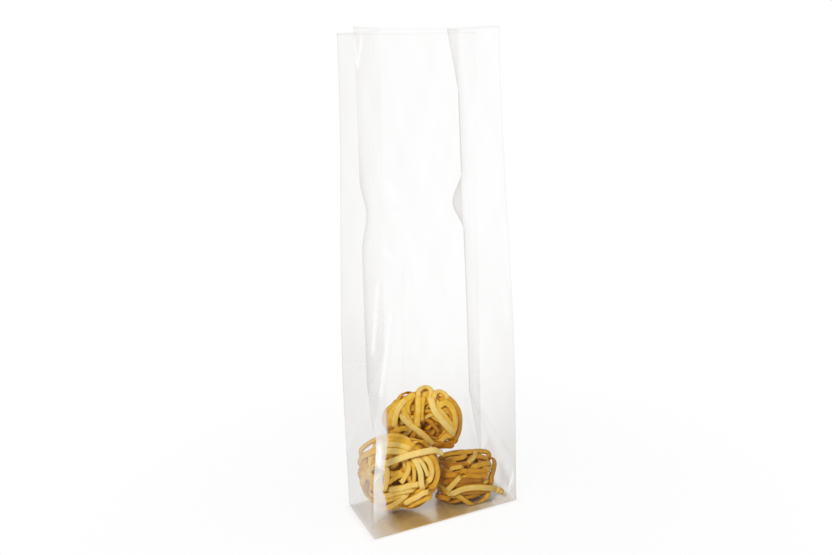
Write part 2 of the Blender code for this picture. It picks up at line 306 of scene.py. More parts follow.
def gusset(z, base, top, half_depth):
    fan = np.clip((z - base) / (top - base), 0.0, 1.0)
    return GUSSET_REACH * fan, mix(half_depth - FAN_FOOT, CREASE_WIDTH / 2, fan)


def bag_folds(z):
    """The section's eight folds at the heights z, anticlockwise from the front left corner."""
    rise = ease(z, FAN_HEIGHT, BAG_HEIGHT)
    lean = z / BAG_HEIGHT
    half_width = mix(BAG_WIDTH, MOUTH_WIDTH, rise) / 2
    half_depth = mix(BAG_DEPTH, MOUTH_DEPTH, rise) / 2
    right_reach, right_spread = gusset(z, 0.0, FAN_HEIGHT, half_depth)
    left_reach, left_spread = gusset(z, LEFT_FAN_BASE, LEFT_FAN_HEIGHT, half_depth)
    right_fold = half_width - right_reach
    tip = np.clip((z - TIP_LOW) / (BAG_HEIGHT - TIP_LOW), 0, 1)
    right_split = CREASE_BUCKLE * buckle(z) + TIP_SPLIT * tip
    left_fold = left_reach - half_width
    x = (EDGE_BUCKLE * buckle(z) - half_width, half_width, right_fold - right_split, right_fold,
         half_width, -half_width, left_fold, left_fold)
    y = (-half_depth, -half_depth, -right_spread, right_spread,
         half_depth, half_depth, left_spread, -left_spread)
    folds = np.stack([np.stack(x, 1), np.stack(y, 1)], 2)
    folds[:, :, 0] += (MOUTH_SHIFT_X * lean)[:, None]
    folds[:, :, 1] += (MOUTH_SHIFT_Y * rise)[:, None]
    return folds


def edge_shares(count):
    even = np.arange(count) / count
    return even - STEP_CROWDING * np.sin(2 * pi * even) / (2 * pi)


# Faces of the section that are named below, by their places in EDGE_STEPS and FACES
FRONT = 0
RIGHT_CREASE = 2
LEFT_BACK = 5
RING_EDGE = np.concatenate([np.full(n, i) for i, n in enumerate(EDGE_STEPS)])
RING_SHARE = np.concatenate([edge_shares(n) for n in EDGE_STEPS])
AROUND = len(RING_EDGE)


def corner_round(z):
    """Half the width of the front left corner's turn at height z."""
    return max(float(np.interp(z, CORNER_HEIGHTS, CORNER_ROUND)), FOLD_ROUND)


def section(folds, z, bow):
    """One ring of AROUND points, its folds rounded by averaging along it, and its faces' widths."""
    ends = np.vstack([folds, folds[:1]])
    lengths = np.linalg.norm(np.diff(ends, axis=0), axis=1)
    starts = np.concatenate([[0.0], np.cumsum(lengths)])
    total = starts[-1]
    along = np.linspace(-total, 2 * total, 3 * RING_SAMPLES + 1)
    wrapped = np.mod(along, total)
    x = np.interp(wrapped, starts, ends[:, 0])
    y = np.interp(wrapped, starts, ends[:, 1])
    front = np.clip(wrapped / lengths[0], 0, 1)
    y = y + bow * np.sin(pi * front)
    step = along[1] - along[0]
    sum_x = np.cumsum(x) * step
    sum_y = np.cumsum(y) * step
    place = starts[RING_EDGE] + RING_SHARE * lengths[RING_EDGE]
    from_corner = np.minimum(place, total - place)
    wide = corner_round(z)
    window = np.clip(2 * wide - from_corner, FOLD_ROUND, wide)
    low = place - window
    high = place + window
    ring_x = (np.interp(high, along, sum_x) - np.interp(low, along, sum_x)) / (2 * window)
    ring_y = (np.interp(high, along, sum_y) - np.interp(low, along, sum_y)) / (2 * window)
    return np.stack([ring_x, ring_y], 1), lengths


# Slow waves over the film. Each is a size times two sines, and a sine is given by how fast it turns
# across the face and up it, in radians a metre, and by how much of the face's phase it takes
Wave = namedtuple("Wave", "size first second")
SWELLS = (
    Wave(0.00035, (160, 23, 1.0), (40, 31, 2.1)),
    Wave(0.00022, (330, -41, 3.0), (0, 57, 1.0)),
)
SWELL_PHASE = 1.7  # from one face to the next
SWELL_START = (0.0005, 0.010)  # distances from a fold over which the swell comes in
SWELL_RISE = (0.0, 0.03)  # heights over which it comes in
MOTTLES = (
    Wave(0.0060, (190, 17, 1.0), (35, 61, 2.0)),
    Wave(0.0042, (420, -33, 0.0), (90, 120, 1.0)),
)


def waves(table, across, z, phase):
    total = 0.0
    for wave in table:
        first, second = (np.sin(across * a + z * b + phase * c) for a, b, c in (wave.first, wave.second))
        total = total + wave.size * first * second
    return total


def film_swell(edge, share, width, z):
    """How far the film stands out from its plain folded form, in metres."""
    across = share * width
    free = ease(np.minimum(across, width - across), *SWELL_START)
    return waves(SWELLS, across, z, edge * SWELL_PHASE) * free * float(ease(z, *SWELL_RISE))


def film_rows():
    """The wall's heights, and at each its ring of points and the widths of its faces."""
    heights = np.linspace(BOTTOM_ROUND, BAG_HEIGHT, LEVELS)
    folds = bag_folds(heights)
    rows = []
    widths = []
    for z, fold in zip(heights, folds):
        bow = PANEL_BOW * float(ease(z, FAN_HEIGHT, BAG_HEIGHT))
        ring, lengths = section(fold, z, bow)
        ahead = np.roll(ring, -1, 0) - np.roll(ring, 1, 0)
        ahead /= np.linalg.norm(ahead, axis=1)[:, None]
        outward = np.stack([ahead[:, 1], -ahead[:, 0]], 1)
        swell = film_swell(RING_EDGE, RING_SHARE, lengths[RING_EDGE], z)
        rows.append(ring + outward * swell[:, None])
        widths.append(lengths)
    return heights, np.array(rows), np.array(widths)


# Painted shade on each face of the section, as the share of the light that it takes in: at the fold where
# it starts and the one where it ends, each at the heights of PAINTED_SHADE_HEIGHTS. Then how much more
# painted shade lies along the fold where it starts, and how far that reaches
PAINTED_SHADE_HEIGHTS = (0.0, 0.030, 0.050, 0.080, 0.120, 0.160, 0.210, 0.360)
Face = namedtuple("Face", "start end fold_dark fold_reach")
FACES = (
    # front
    Face((0.050, 0.050, 0.050, 0.040, 0.020, 0.020, 0.020, 0.020),
         (0.030, 0.030, 0.030, 0.020, 0.008, 0.004, 0.004, 0.004), 0.080, 0.0042),
    # front half of the right gusset
    Face((0.260, 0.240, 0.190, 0.130, 0.075, 0.045, 0.010, 0.006),
         (0.120, 0.110, 0.070, 0.035, 0.020, 0.012, 0.008, 0.006), 0.020, 0.0012),
    # right crease
    Face((0.080, 0.080, 0.080, 0.070, 0.050, 0.060, 0.110, 0.100),
         (0.080, 0.080, 0.080, 0.070, 0.050, 0.060, 0.110, 0.100), 0.065, 0.0036),
    # back half of the right gusset
    Face((0.100, 0.100, 0.090, 0.070, 0.040, 0.020, 0.008, 0.006),
         (0.160, 0.150, 0.120, 0.090, 0.050, 0.040, 0.010, 0.006), 0.065, 0.0036),
    # back
    Face((0.140, 0.130, 0.110, 0.060, 0.016, 0.008, 0.006, 0.006),
         (0.110, 0.110, 0.110, 0.080, 0.038, 0.020, 0.018, 0.018), 0.000, 0.0012),
    # back half of the left gusset
    Face((0.080, 0.090, 0.100, 0.130, 0.120, 0.075, 0.055, 0.055),
         (0.060, 0.060, 0.070, 0.090, 0.070, 0.030, 0.008, 0.006), 0.025, 0.0012),
    # left crease
    Face((0.060, 0.060, 0.060, 0.050, 0.020, 0.006, 0.004, 0.004),
         (0.060, 0.060, 0.060, 0.050, 0.020, 0.006, 0.004, 0.004), 0.000, 0.0014),
    # front half of the left gusset
    Face((0.050, 0.050, 0.050, 0.050, 0.020, 0.008, 0.008, 0.008),
         (0.050, 0.050, 0.050, 0.050, 0.020, 0.008, 0.008, 0.010), 0.000, 0.0014),
)
CORNER_LINE = (0.015, 0.080)  # heights between which the front left corner's painted dark line comes in
CORNER_LINE_TOP = (0.250, 0.300)  # and goes again
CORNER_FADE = 0.7  # how far it goes
SPLIT_CLEAR = 0.8  # how much less painted shade the right crease takes between the two folds at the mouth
SPLIT_TURN = 0.02  # height over which it clears
# Painted reflection of the pasta: the painted shade takes in more blue than red, which warms it
PASTA_REFLECTION_WARMTH = np.array((0.92, 1.03, 1.12))
PANEL_TURN = 0.45  # share of a panel over which its first painted shade gives way to its second
RIM_DARK = 0.05
RIM_REACH = 0.0012

# Painted shade along the creases and painted highlight streaks of the front panel: both ends' x and z and
# the width, in mm, and the share of light that each takes in, or gives back as a painted highlight where it
# is below 0
Stroke = namedtuple("Stroke", "start end width strength")
PAINTED_CREASES_AND_HIGHLIGHTS = (
    Stroke((-45.0, 355), (-44.2, 333), 1.8, -0.050),
    Stroke((-38.6, 355), (-43.6, 333), 1.6, -0.050),
    Stroke((-28.5, 259), (-20.5, 243), 3.6, -0.045),
    Stroke((-26.5, 236), (-22.5, 231), 2.8, -0.045),
    Stroke((-36.5, 215), (-29.5, 203), 3.4, -0.045),
    Stroke((-42.0, 190), (-50.6, 139), 1.8, -0.070),
    Stroke((-39.0, 190), (-47.5, 139), 2.0, 0.020),
    Stroke((-33.8, 169), (-47.5, 108), 1.9, -0.070),
    Stroke((-31.0, 169), (-44.5, 108), 2.2, 0.020),
    Stroke((-21.5, 197), (-29.2, 113), 1.1, 0.024),
    Stroke((-14.3, 200), (-16.5, 179), 1.0, 0.018),
    Stroke((-19.7, 170), (-21.2, 155), 1.0, 0.018),
    Stroke((57.5, 252), (54.7, 241), 2.4, -0.050),
    Stroke((56.1, 175), (59.0, 144), 3.0, -0.045),
    Stroke((20.2, 96), (19.5, 84), 2.6, 0.040),
    Stroke((19.5, 84), (29.0, 40), 2.6, 0.040),
    Stroke((25.3, 84), (34.0, 56), 2.4, 0.035),
    Stroke((30.8, 84), (46.5, 57), 2.4, 0.045),
    Stroke((46.5, 57), (57.3, 38), 2.4, 0.045),
    Stroke((51.0, 31), (55.5, 30), 3.0, -0.220),
    Stroke((58.0, 24), (57.0, 14), 1.6, -0.200),
    Stroke((57.0, 14), (52.5, 8), 1.4, -0.160),
    Stroke((47.5, 38), (48.5, 12), 4.2, 0.150),
    Stroke((50.5, 26), (56.5, 6), 3.6, 0.150),
)


STROKE_FADE = 3  # widths over which a stroke's ends fade
STROKE_CORE = 1.6  # how much narrower its dense middle is than its width


def stroke_share(stroke, x, z):
    """How much of a stroke on the front panel lies at its points: 1 at its middle line."""
    start = np.array(stroke.start) / 1000
    way = np.array(stroke.end) / 1000 - start
    length = np.linalg.norm(way)
    along = ((x - start[0]) * way[0] + (z - start[1]) * way[1]) / length
    aside = ((x - start[0]) * way[1] - (z - start[1]) * way[0]) / length
    width = stroke.width / 1000
    fade = STROKE_FADE * width
    ends = ease(along, -width, fade) * ease(length - along, -width, fade)
    return bell(aside, 0.0, width / STROKE_CORE) * ends


def strokes(table, x, z):
    return sum(stroke.strength * stroke_share(stroke, x, z) for stroke in table)


def film_tint_and_painted_light(edge, share, width, x, z):
    """What share of red, green and blue the film lets through at a point: painted shade on the faces and
    along the folds and creases, painted highlight streaks, a dark line at the rim and slow mottling, warmed
    as a painted reflection of the pasta.
    """
    across = share * width
    starts = np.array([np.interp(z, PAINTED_SHADE_HEIGHTS, face.start) for face in FACES])
    ends = np.array([np.interp(z, PAINTED_SHADE_HEIGHTS, face.end) for face in FACES])
    turn = np.where(edge == FRONT, ease(share, 0.0, PANEL_TURN), share)
    dark = mix(starts[edge], ends[edge], turn)
    folds = np.array([face.fold_dark for face in FACES])
    folds[FRONT] *= float(ease(z, *CORNER_LINE)) * (1 - CORNER_FADE * float(ease(z, *CORNER_LINE_TOP)))
    clearing = SPLIT_CLEAR * float(ease(z, TIP_LOW, TIP_LOW + SPLIT_TURN))
    dark = dark * np.where(edge == RIGHT_CREASE, 1 - clearing, 1.0)
    reach = np.array([face.fold_reach for face in FACES])
    dark = dark + folds[edge] * bell(across, 0.0, reach[edge])
    dark += np.roll(folds, -1)[edge] * bell(width - across, 0.0, np.roll(reach, -1)[edge])
    dark += np.where(edge == FRONT, strokes(PAINTED_CREASES_AND_HIGHLIGHTS, x, z), 0.0)
    dark += RIM_DARK * bell(z, BAG_HEIGHT, RIM_REACH)
    dark += waves(MOTTLES, across, z, edge)
    return 1 - np.clip(dark, 0.0, 1.0)[:, None] * PASTA_REFLECTION_WARMTH


# Painted reflection at the rounded front left corner, drawn as milky film: how far it reaches over the
# front panel, by height
REFLECTION_VEIL_HEIGHTS = (0.000, 0.012, 0.024, 0.037, 0.048, 0.074, 0.100, 0.130)
REFLECTION_VEIL_REACH = (0.026, 0.020, 0.012, 0.009, 0.010, 0.0145, 0.0145, 0.0145)
REFLECTION_VEIL = 0.72
FOOT_REFLECTION_VEIL = 0.25  # of it at the foot
REFLECTION_VEIL_EDGE = 0.0012  # over which it ends
FOOT_EDGE = 0.012  # the same at the foot
REFLECTION_VEIL_FOOT = (0.008, 0.030)
REFLECTION_VEIL_TOP = (0.085, 0.125)

# The same on the back half of the left gusset, by height
FLANK_HEIGHTS = (0.0, 0.018, 0.040, 0.056, 0.090, 0.125, 0.170)
FLANK_REFLECTION_VEIL = (0.50, 0.90, 0.92, 0.66, 0.52, 0.22, 0.0)
FLANK_SHARES = (0.0, 0.0, 0.0, 0.0, 0.0, 1.0, 0.4, 0.2)  # of it on each face

# The left gusset shines less where the nests lie behind it
CALM = 1.0
CALM_TOP = (0.170, 0.240)

# Glare on the front panel: the same values, with how white it is
GLARE_TOP = 0.95  # the most where strokes cross
GLARES = (
    Stroke((-49.8, 76), (-50.8, 54), 2.6, 0.90),
    Stroke((-54.8, 69), (-51.2, 54), 1.5, 0.85),
    Stroke((-54.8, 69), (-50.2, 71), 1.8, 0.80),
    Stroke((-53.4, 66), (-51.8, 61), 2.2, 0.85),
    Stroke((-54.6, 73), (-53.8, 57), 7.0, 0.55),
    Stroke((-52.4, 49), (-56.9, 42), 1.2, 0.60),
    Stroke((53.2, 31), (50.0, 31.6), 2.6, 0.95),
    Stroke((56.2, 21), (53.4, 10), 1.4, 0.90),
    Stroke((57.6, 28), (57.0, 16), 1.2, 0.70),
    Stroke((34.6, 27), (35.2, 24), 1.2, 0.75),
    Stroke((-45.0, 355), (-44.2, 333), 1.7, 0.85),
    Stroke((-38.6, 355), (-43.6, 333), 1.5, 0.85),
    Stroke((-28.5, 259), (-20.5, 243), 4.4, 0.75),
    Stroke((-26.5, 236), (-22.5, 231), 3.2, 0.75),
    Stroke((-36.5, 215), (-29.5, 203), 4.0, 0.75),
    Stroke((-42.0, 190), (-50.6, 139), 1.9, 0.85),
    Stroke((-33.8, 169), (-47.5, 108), 1.7, 0.85),
    Stroke((57.5, 252), (54.7, 241), 2.6, 0.80),
    Stroke((56.1, 175), (59.0, 144), 3.2, 0.75),
)


def film_reflection_veil(edge, share, width, z):
    """The share of the film's surface that scatters light instead of letting it through: a milky veil that
    stands for a painted reflection at the front left corner and on the left gusset.
    """
    foot = 1 - float(ease(z, *REFLECTION_VEIL_FOOT))
    fade = mix(1.0, FOOT_REFLECTION_VEIL, foot) * (1 - float(ease(z, *REFLECTION_VEIL_TOP)))
    reach = float(np.interp(z, REFLECTION_VEIL_HEIGHTS, REFLECTION_VEIL_REACH))
    front = 1 - ease(share * width, reach - mix(REFLECTION_VEIL_EDGE, FOOT_EDGE, foot), reach)
    flank = float(np.interp(z, FLANK_HEIGHTS, FLANK_REFLECTION_VEIL))
    haze_and_veil = flank * np.array(FLANK_SHARES)[edge]
    return np.where(edge == FRONT, REFLECTION_VEIL * fade * front, haze_and_veil)


def film_shine(edge, x, z):
    """The share of light that the film reflects: glare on the front, and calm where it is below 0."""
    glare = np.clip(strokes(GLARES, x, z), 0.0, GLARE_TOP)
    calm = CALM * (1 - float(ease(z, *CALM_TOP)))
    return np.where(edge == FRONT, glare, np.where(edge >= LEFT_BACK, -calm, 0.0))


# Painted shadow and reflection of the nests on the bottom film, warm in the middle
BOTTOM_PAINTED_SHADE = (0.86, 0.70, 0.36)
CORNER_TINT = (0.93, 0.92, 0.90)
BOTTOM_HAZE = 0.10
BOTTOM_SHINE = 0.42  # share of light that the flat bottom reflects
CORNER_SHINE = 0.12
RIM_SHINE = 0.08
CLEAR_LEFT = (-0.060, -0.028)  # over which the bottom's painted shadow comes in from the left
CLEAR_RIGHT = (0.000, 0.046)  # and goes again at the right
CLEAR_SHARE = 0.85  # how far it goes there
BOTTOM_TURNS = (0.0, 30.0, 60.0)  # degrees round the edge from the bottom to the wall
BOTTOM_HOLE = 0.3  # how far out the innermost ring lies, in steps between rings


def bottom_row(x):
    """Tint and shine of points of the bottom: the nests' painted shadow and reflection in the middle,
    clearer at the sides.
    """
    painted_shade_share = ease(x, *CLEAR_LEFT) * (1 - CLEAR_SHARE * ease(x, *CLEAR_RIGHT))
    tint_and_painted_light = mix(np.array(CORNER_TINT), np.array(BOTTOM_PAINTED_SHADE), painted_shade_share[:, None])
    return tint_and_painted_light, mix(CORNER_SHINE, BOTTOM_SHINE, painted_shade_share)


def bottom_rings(low):
    """The rings of the bottom from its middle to the wall's lowest row: points, tint with painted shadow,
    and shine.
    """
    middle = low.mean(0)
    for ring in range(BOTTOM_RINGS):
        shrink = (ring + BOTTOM_HOLE) / BOTTOM_RINGS
        flat = middle + (low - middle) * shrink * (1 - BOTTOM_ROUND / (BAG_DEPTH / 2))
        tint_and_painted_light, shine = bottom_row(flat[:, 0])
        yield np.column_stack([flat, np.full(AROUND, FILM_LIFT)]), tint_and_painted_light, shine
    tint_and_painted_light, _ = bottom_row(low[:, 0])
    for angle in BOTTOM_TURNS:
        lift = BOTTOM_ROUND * (1 - cos(radians(angle)))
        inset = BOTTOM_ROUND * (1 - sin(radians(angle)))
        shrink = np.array([1 - 2 * inset / BAG_WIDTH, 1 - 2 * inset / BAG_DEPTH])
        ring = np.column_stack([low * shrink, np.full(AROUND, max(lift, FILM_LIFT))])
        yield ring, tint_and_painted_light, np.full(AROUND, RIM_SHINE)


def make_film():
    heights, rows, widths = film_rows()
    points, tints_and_painted_light, hazes_and_veils, shines = [], [], [], []
    for ring, tint_and_painted_light, shine in bottom_rings(rows[0]):
        points.append(ring)
        tints_and_painted_light.append(tint_and_painted_light)
        hazes_and_veils.append(np.full(AROUND, BOTTOM_HAZE))
        shines.append(shine)
    for z, ring, lengths in zip(heights, rows, widths):
        width = lengths[RING_EDGE]
        points.append(np.column_stack([ring, np.full(AROUND, z)]))
        tints_and_painted_light.append(film_tint_and_painted_light(RING_EDGE, RING_SHARE, width, ring[:, 0], z))
        hazes_and_veils.append(film_reflection_veil(RING_EDGE, RING_SHARE, width, z))
        shines.append(film_shine(RING_EDGE, ring[:, 0], z))
    row = np.arange(len(points) - 1)[:, None] * AROUND
    here = np.arange(AROUND)
    after = (here + 1) % AROUND
    quads = np.stack([row + here, row + after, row + AROUND + after, row + AROUND + here], -1)
    mesh = bpy.data.meshes.new("film")
    faces = quads.reshape(-1, 4).tolist() + [list(range(AROUND))[::-1]]
    mesh.from_pydata(np.concatenate(points).tolist(), [], faces)
    mesh.update()
    mesh.shade_smooth()
    colours = np.concatenate(tints_and_painted_light)
    tint_and_painted_light = mesh.attributes.new("tint_and_painted_light", "FLOAT_COLOR", "POINT")
    tint_and_painted_light.data.foreach_set("color", np.column_stack([colours, np.ones(len(colours))]).ravel())
    for name, values in (("haze_and_veil", hazes_and_veils), ("shine", shines)):
        attribute = mesh.attributes.new(name, "FLOAT", "POINT")
        attribute.data.foreach_set("value", np.concatenate(values).ravel())
    mesh.materials.append(film_material())
    film = bpy.data.objects.new("bag_film", mesh)
    bpy.context.collection.objects.link(film)
    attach(film, "root")
    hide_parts("film_bag")


class Nodes:
    """A short way to add, set and link the nodes of one tree."""

    def __init__(self, owner):
        owner.use_nodes = True
        self.tree = owner.node_tree
        self.tree.nodes.clear()

    def add(self, kind, inputs=None, **settings):
        made = self.tree.nodes.new("ShaderNode" + kind)
        for key, value in settings.items():
            setattr(made, key, value)
        for key, value in (inputs or {}).items():
            self.put(value, made.inputs[key])
        return made

    def put(self, value, socket):
        """Links a socket, or sets a plain value."""
        if isinstance(value, bpy.types.NodeSocket):
            self.tree.links.new(value, socket)
        else:
            socket.default_value = value

    def maths(self, operation, a, b):
        return self.add("Math", {0: a, 1: b}, operation=operation).outputs[0]

    def blend(self, share, first, second):
        return self.add("MixShader", {0: share, 1: first, 2: second}).outputs[0]

    def attribute(self, name, output="Fac"):
        return self.add("Attribute", attribute_name=name).outputs[output]

    def white_rays(self):
        """1 for the camera's own rays and those of reflections and glass, and 0 for all others."""
        path = self.add("LightPath")
        seen = self.maths("MAXIMUM", path.outputs["Is Camera Ray"], path.outputs["Is Glossy Ray"])
        return self.maths("MAXIMUM", seen, path.outputs["Is Transmission Ray"])


FACE_ON_SHINE = 0.004  # share of light that the film reflects face on
EDGE_ON_SHINE = 0.55
EDGE_ON_RISE = 5.0  # how late the shine comes up towards the edge
FILM_ROUGHNESS = 0.12
BOTTOM_ROUGHNESS = 0.26
MILK_AND_VEIL_COLOUR = (0.85, 0.84, 0.83, 1.0)
WHITE = (1.0, 1.0, 1.0, 1.0)


def film_material():
    """Clear film: tinted where the tint says, with painted shade and highlights, milky where the haze says,
    as the bottom's own milkiness and a painted reflection, and glossy.
    """
    material = bpy.data.materials.new("clear_film")
    n = Nodes(material)
    clear = n.add("BsdfTransparent", {"Color": n.attribute("tint_and_painted_light", "Color")}).outputs[0]
    milk_and_veil = n.add("BsdfDiffuse", {"Color": MILK_AND_VEIL_COLOUR}).outputs[0]
    body = n.blend(n.attribute("haze_and_veil"), clear, milk_and_veil)
    shine = n.attribute("shine")
    facing = n.add("LayerWeight", {"Blend": 0.5})
    grazing = n.maths("POWER", facing.outputs["Facing"], EDGE_ON_RISE)
    one = n.maths("ADD", n.maths("MULTIPLY", grazing, EDGE_ON_SHINE), FACE_ON_SHINE)
    both = n.maths("DIVIDE", n.maths("MULTIPLY", one, 2.0), n.maths("ADD", one, 1.0))
    calm = n.maths("ADD", n.maths("MINIMUM", shine, 0.0), 1.0)
    share = n.maths("MAXIMUM", n.maths("MULTIPLY", both, calm), shine)
    shining = n.maths("MAXIMUM", shine, 0.0)
    rough = n.maths("MULTIPLY", shining, (BOTTOM_ROUGHNESS - FILM_ROUGHNESS) / BOTTOM_SHINE)
    roughness = n.maths("ADD", rough, FILM_ROUGHNESS)
    gloss = n.add("BsdfGlossy", {"Color": WHITE, "Roughness": roughness}).outputs[0]
    n.add("OutputMaterial", {"Surface": n.blend(share, body, gloss)})
    return material


# Pasta colours, from the painted shade of the deepest gaps to the palest strands, with the tone at which
# each stands
PASTA_COLOURS_AND_GAP_SHADE = (
    (0.00, (0.400, 0.135, 0.0005)),
    (0.30, (0.640, 0.270, 0.002)),
    (0.62, (0.850, 0.500, 0.040)),
    (1.00, (0.930, 0.700, 0.240)),
)
GRAIN = {"Scale": 240.0, "Detail": 4.0}
GRAIN_STRENGTH = 0.55
ROUGHENING = {"Scale": 1400.0, "Detail": 3.0}
BUMP = {"Strength": 0.35, "Distance": 0.0003}
PASTA_SURFACE = {
    "Roughness": 0.50,
    "Specular IOR Level": 0.35,
    "Subsurface Weight": 0.10,
    "Subsurface Radius": (1.0, 0.55, 0.12),
    "Subsurface Scale": 0.0020,
}


def pasta_material(nest):
    material = bpy.data.materials.new("dried_pasta_" + nest.name)
    n = Nodes(material)
    place = n.add("TexCoord").outputs["Object"]
    grain = n.add("TexNoise", {**GRAIN, "Vector": place}, noise_dimensions="3D")
    change = n.maths("MULTIPLY", n.maths("SUBTRACT", grain.outputs["Fac"], 0.5), GRAIN_STRENGTH)
    ramp = n.add("ValToRGB", {"Fac": n.maths("ADD", n.attribute("tone"), change)})
    stops = ramp.color_ramp.elements
    while len(stops) < len(PASTA_COLOURS_AND_GAP_SHADE):
        stops.new(0.5)
    for stop, (position, colour) in zip(stops, PASTA_COLOURS_AND_GAP_SHADE):
        stop.position = position
        # The nest's share of the colour scales the stops: painted shade, so the nests get lit and shaded
        # copies of one pasta material
        stop.color = (*(part * nest.shade for part in colour), 1.0)
    fine = n.add("TexNoise", {**ROUGHENING, "Vector": place}, noise_dimensions="3D")
    bump = n.add("Bump", {**BUMP, "Height": fine.outputs["Fac"]})
    shader = n.add("BsdfPrincipled", {**PASTA_SURFACE, "Base Color": ramp.outputs["Color"],
                                      "Normal": bump.outputs["Normal"]})
    n.add("OutputMaterial", {"Surface": shader.outputs[0]})
    return material


def nest_level(nest, points):
    """How far out points lie: 1 on a nest's surface, and it grows as a power of the distance."""
    across, depth, through = (size / 2 for size in nest.size)
    flat = (np.abs(points[:, 0]) / across) ** nest.plan + (np.abs(points[:, 1]) / depth) ** nest.plan
    return flat ** (nest.profile / nest.plan) + (np.abs(points[:, 2]) / through) ** nest.profile


def on_nest(nest, direction):
    """The points of a nest's surface along directions from its centre."""
    return direction * (nest_level(nest, direction) ** (-1 / nest.profile))[:, None]


def surface_normal(nest, points):
    across, depth, through = (size / 2 for size in nest.size)
    x, y, z = (np.abs(points[:, i]) / half for i, half in enumerate((across, depth, through)))
    flat = np.maximum(x**nest.plan + y**nest.plan, LEAST_SLOPE) ** (nest.profile / nest.plan - 1)
    steep = (flat * x ** (nest.plan - 1) / across, flat * y ** (nest.plan - 1) / depth,
             z ** (nest.profile - 1) / through)
    normal = np.sign(points) * np.column_stack(steep)
    return normal / np.linalg.norm(normal, axis=1)[:, None]


def ribbon(middle, normal, width, closed, tone, store):
    """Adds a flat strand with rounded edges along middle, its flat side facing normal."""
    count = len(middle)
    if closed:
        along = np.roll(middle, -1, 0) - np.roll(middle, 1, 0)
    else:
        along = np.gradient(middle, axis=0)
    along /= np.linalg.norm(along, axis=1)[:, None]
    side = np.cross(along, normal)
    side /= np.linalg.norm(side, axis=1)[:, None]
    up = np.cross(side, along)
    turn = 2 * pi / RIBBON_SIDES
    angles = turn / 2 + np.arange(RIBBON_SIDES) * turn
    flat = np.sign(np.cos(angles)) * np.abs(np.cos(angles)) ** RIBBON_FLATNESS
    tall = np.sign(np.sin(angles)) * np.abs(np.sin(angles)) ** RIBBON_CROWN
    wide = (width / 2)[:, None] * flat[None]
    high = (RIBBON_THICKNESS / 2) * tall[None] * np.ones((count, 1))
    ring = middle[:, None] + side[:, None] * wide[..., None] + up[:, None] * high[..., None]
    base = sum(len(p) for p in store["points"])
    store["points"].append(ring.reshape(-1, 3))
    edged = tone - EDGE_SHADE * np.abs(flat) ** EDGE_FALL
    store["tones"].append(np.tile(edged, count))
    last = count if closed else count - 1
    row = np.arange(last)[:, None]
    here = np.arange(RIBBON_SIDES)[None]
    after = (here + 1) % RIBBON_SIDES
    start = row * RIBBON_SIDES
    ahead = (row + 1) % count * RIBBON_SIDES
    quads = np.stack([start + here, ahead + here, ahead + after, start + after], -1) + base
    store["faces"] += quads.reshape(-1, 4).tolist()
    if not closed:
        end = base + (count - 1) * RIBBON_SIDES
        store["faces"].append([base + i for i in range(RIBBON_SIDES)])
        store["faces"].append([end + i for i in reversed(range(RIBBON_SIDES))])


def nest_loop(nest, shell, rng):
    """The middle line, the flat side's direction and the width of one closed strand."""
    across, _, through = nest.size
    turn = np.linspace(0, 2 * pi, LOOP_STEPS, endpoint=False)

    def phase():
        return rng.uniform(0, ANY_PHASE)

    lean = rng.uniform(0, 2 * pi)
    tilt = radians(rng.uniform(LEAST_TILT, shell.steepest)) * nest.tilt
    offset = rng.uniform(-LOOP_OFFSET, LOOP_OFFSET) * through / across
    wobble = 0.0
    for count in LOOP_WAVES:
        wobble = wobble + rng.uniform(-LOOP_WOBBLE, LOOP_WOBBLE) * np.sin(count * turn + phase())
    rise = offset + np.tan(tilt) * np.sin(turn - lean) + wobble
    surface = on_nest(nest, np.column_stack([np.cos(turn), np.sin(turn), rise]))
    normal = surface_normal(nest, surface)
    deep = shell.depth + DEPTH_WAVE * np.sin(3 * turn + phase()) + rng.uniform(-DEPTH_SPREAD, DEPTH_SPREAD)
    middle = surface - normal * deep[:, None]
    along = np.roll(middle, -1, 0) - np.roll(middle, 1, 0)
    along /= np.linalg.norm(along, axis=1)[:, None]
    twist = TWIST_WAVE * np.sin(turn + phase()) + rng.uniform(-TWIST_SPREAD, TWIST_SPREAD)
    facing = normal * np.cos(twist)[:, None] + np.cross(along, normal) * np.sin(twist)[:, None]
    width = RIBBON_WIDTH * (1 + WIDTH_WAVE * np.sin(3 * turn + phase())) * rng.uniform(*WIDTH_SPREAD)
    return middle, facing, width


def nest_loops(nest, rng, store):
    """Closed strands wound round a nest, the deeper ones first, painted darker as shade."""
    for shell in SHELLS:
        for _ in range(shell.loops):
            middle, facing, width = nest_loop(nest, shell, rng)
            tone = rng.uniform(*shell.tones) - nest.dull
            ribbon(middle, facing, width, True, tone, store)


def camera_axes():
    """The camera's right, up and ahead directions."""
    yaw, pitch, roll = (radians(a) for a in (CAMERA_YAW, CAMERA_PITCH, CAMERA_ROLL))
    right0 = np.array((cos(yaw), sin(yaw), 0.0))
    ahead0 = np.array((-sin(yaw), cos(yaw), 0.0))
    up0 = np.array((0.0, 0.0, 1.0))
    ahead = cos(pitch) * ahead0 - sin(pitch) * up0
    up = sin(pitch) * ahead0 + cos(pitch) * up0
    right = cos(roll) * right0 + sin(roll) * up
    above = -sin(roll) * right0 + cos(roll) * up
    return right, above, ahead


